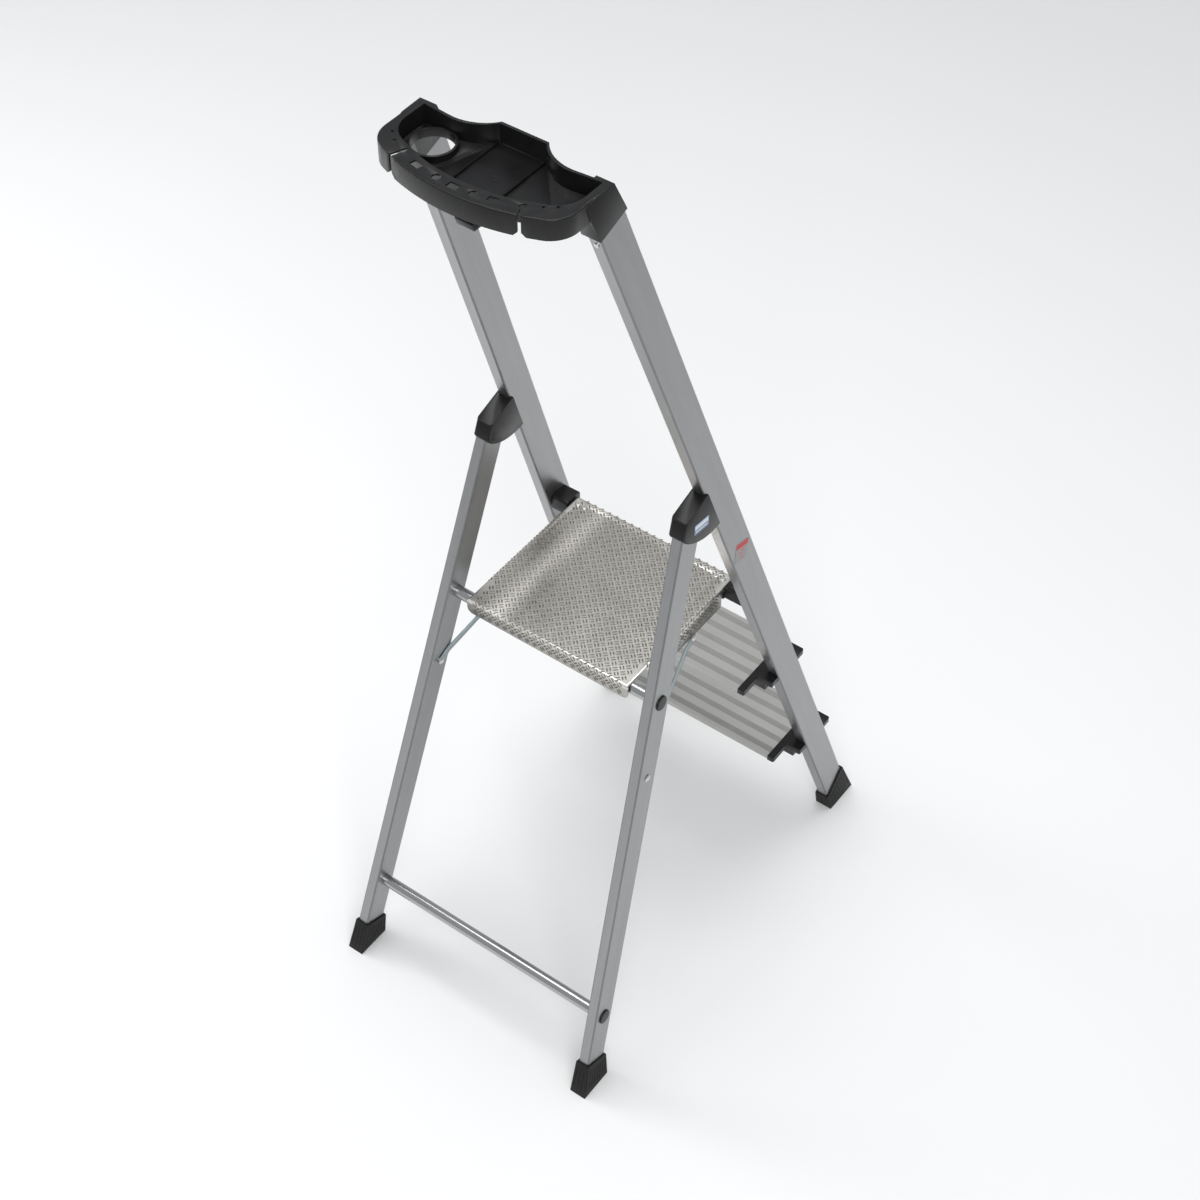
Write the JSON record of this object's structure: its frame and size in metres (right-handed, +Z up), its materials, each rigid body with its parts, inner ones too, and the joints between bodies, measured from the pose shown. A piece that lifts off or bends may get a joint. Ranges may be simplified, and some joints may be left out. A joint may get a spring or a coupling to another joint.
{
  "type": "step ladder",
  "caption": "Folding aluminium step ladder with flat treads, a standing platform between long side rails, and a plastic tool tray joining the rails at the top.",
  "frame": {"origin": "on the floor, in the middle of the four feet", "axes": "+Z up; the climbing side faces -Y, the rear legs are towards +Y, +X is the climber's right"},
  "size_m": [0.4894, 0.7823, 1.585],
  "materials": {
    "rail_aluminium": "extruded, satin mill finish with fine lengthwise lines",
    "tread_aluminium": "extruded, satin, with ridged bands",
    "platform_sheet": "rolled sheet with an embossed grip pattern",
    "tube_aluminium": "bright drawn tube",
    "black_plastic": "moulded, satin black",
    "foot_rubber": "moulded, matt black",
    "zinc_steel": "zinc plated strip",
    "rivet_steel": "bright zinc plated",
    "hinge_sticker_film": "plain pale blue film",
    "rail_label_film": "printed film with a plain red bar"
  },
  "bodies": {
    "front_frame": {"bracket_rivets": "rivet_steel", "bucket_hook": "black_plastic", "front_foot_left": "foot_rubber", "front_foot_right": "foot_rubber", "front_rail_left": "rail_aluminium", "front_rail_right": "rail_aluminium", "hinge_cover_left": "black_plastic", "hinge_cover_right": "black_plastic", "hinge_pin_left": "rivet_steel", "hinge_pin_right": "rivet_steel", "hinge_sticker": "hinge_sticker_film", "lower_tread": "tread_aluminium", "lower_tread_bracket_left": "black_plastic", "lower_tread_bracket_right": "black_plastic", "platform_pivot_pin_left": "rivet_steel", "platform_pivot_pin_right": "rivet_steel", "rail_label": "rail_label_film", "tool_tray": "black_plastic", "tray_rivets": "rivet_steel", "upper_tread": "tread_aluminium", "upper_tread_bracket_left": "black_plastic", "upper_tread_bracket_right": "black_plastic"},
    "rear_frame": {"brace_leg_rivets": "rivet_steel", "lower_cross_tube": "tube_aluminium", "lower_tube_caps": "black_plastic", "rear_foot_left": "foot_rubber", "rear_foot_right": "foot_rubber", "rear_leg_left": "rail_aluminium", "rear_leg_right": "rail_aluminium", "upper_cross_tube": "tube_aluminium", "upper_tube_caps": "black_plastic"},
    "deck": {"platform": "platform_sheet", "platform_lug_left": "black_plastic", "platform_lug_right": "black_plastic", "platform_rivets": "rivet_steel"},
    "left_brace": {"brace_left": "zinc_steel", "brace_stud_left": "rivet_steel"},
    "right_brace": {"brace_right": "zinc_steel", "brace_stud_right": "rivet_steel"}
  },
  "joints": [
    {"name": "fold", "type": "hinge", "parent": "front_frame", "child": "rear_frame", "pos_m": [0, 0.04746, 0.95853], "axis": [-1, 0, 0], "range_deg": [0, 36.9]},
    {"name": "platform_lift", "type": "hinge", "parent": "front_frame", "child": "deck", "pos_m": [0, -0.11318, 0.68252], "axis": [1, 0, 0], "range_deg": [0, 70.3]},
    {"name": "left_brace_swing", "type": "hinge", "parent": "rear_frame", "child": "left_brace", "pos_m": [0, 0.18026, 0.55931], "axis": [-1, 0, 0], "range_deg": [0, 34.44]},
    {"name": "right_brace_swing", "type": "hinge", "parent": "rear_frame", "child": "right_brace", "pos_m": [0, 0.18026, 0.55931], "axis": [-1, 0, 0], "range_deg": [0, 34.44]}
  ],
  "couplings": [
    {"joint": "platform_lift", "follows": "fold", "ratio": 1.9051},
    {"joint": "left_brace_swing", "follows": "fold", "ratio": 0.93327},
    {"joint": "right_brace_swing", "follows": "fold", "ratio": 0.93327}
  ]
}
